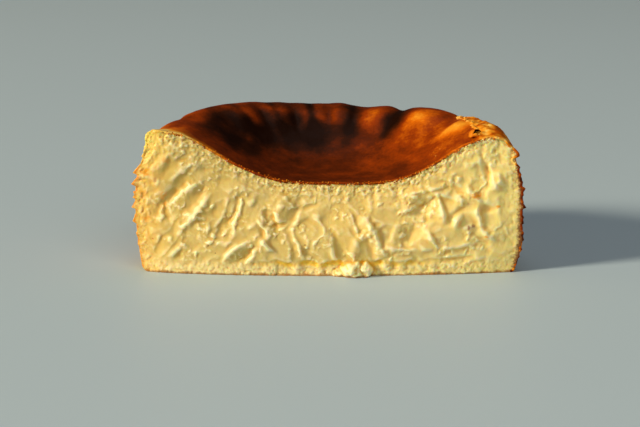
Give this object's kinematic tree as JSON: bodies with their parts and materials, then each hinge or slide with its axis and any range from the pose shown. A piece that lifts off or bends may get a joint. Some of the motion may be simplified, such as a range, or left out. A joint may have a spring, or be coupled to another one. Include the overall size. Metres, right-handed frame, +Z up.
{
  "type": "slice of cheesecake",
  "caption": "Half of a round crustless burnt cheesecake: sunken dark glossy top, browned folded side, and a pale creamy cut face with knife smears.",
  "frame": {"origin": "middle of the bounding box, on the flat base that the cake stands on", "axes": "+X along the straight cut, to the right as seen from the cut side; the cut faces -Y and the round side +Y; +Z up"},
  "size_m": [0.15, 0.0852, 0.0578],
  "materials": {
    "custard": "moist creamy baked custard, soft satin",
    "burnt_top": "caramelised top skin, glossy, from near black to orange brown",
    "side_crust": "dry browned skin with paper folds"
  },
  "bodies": {
    "root": {"cheesecake_half": "custard"}
  },
  "joints": []
}
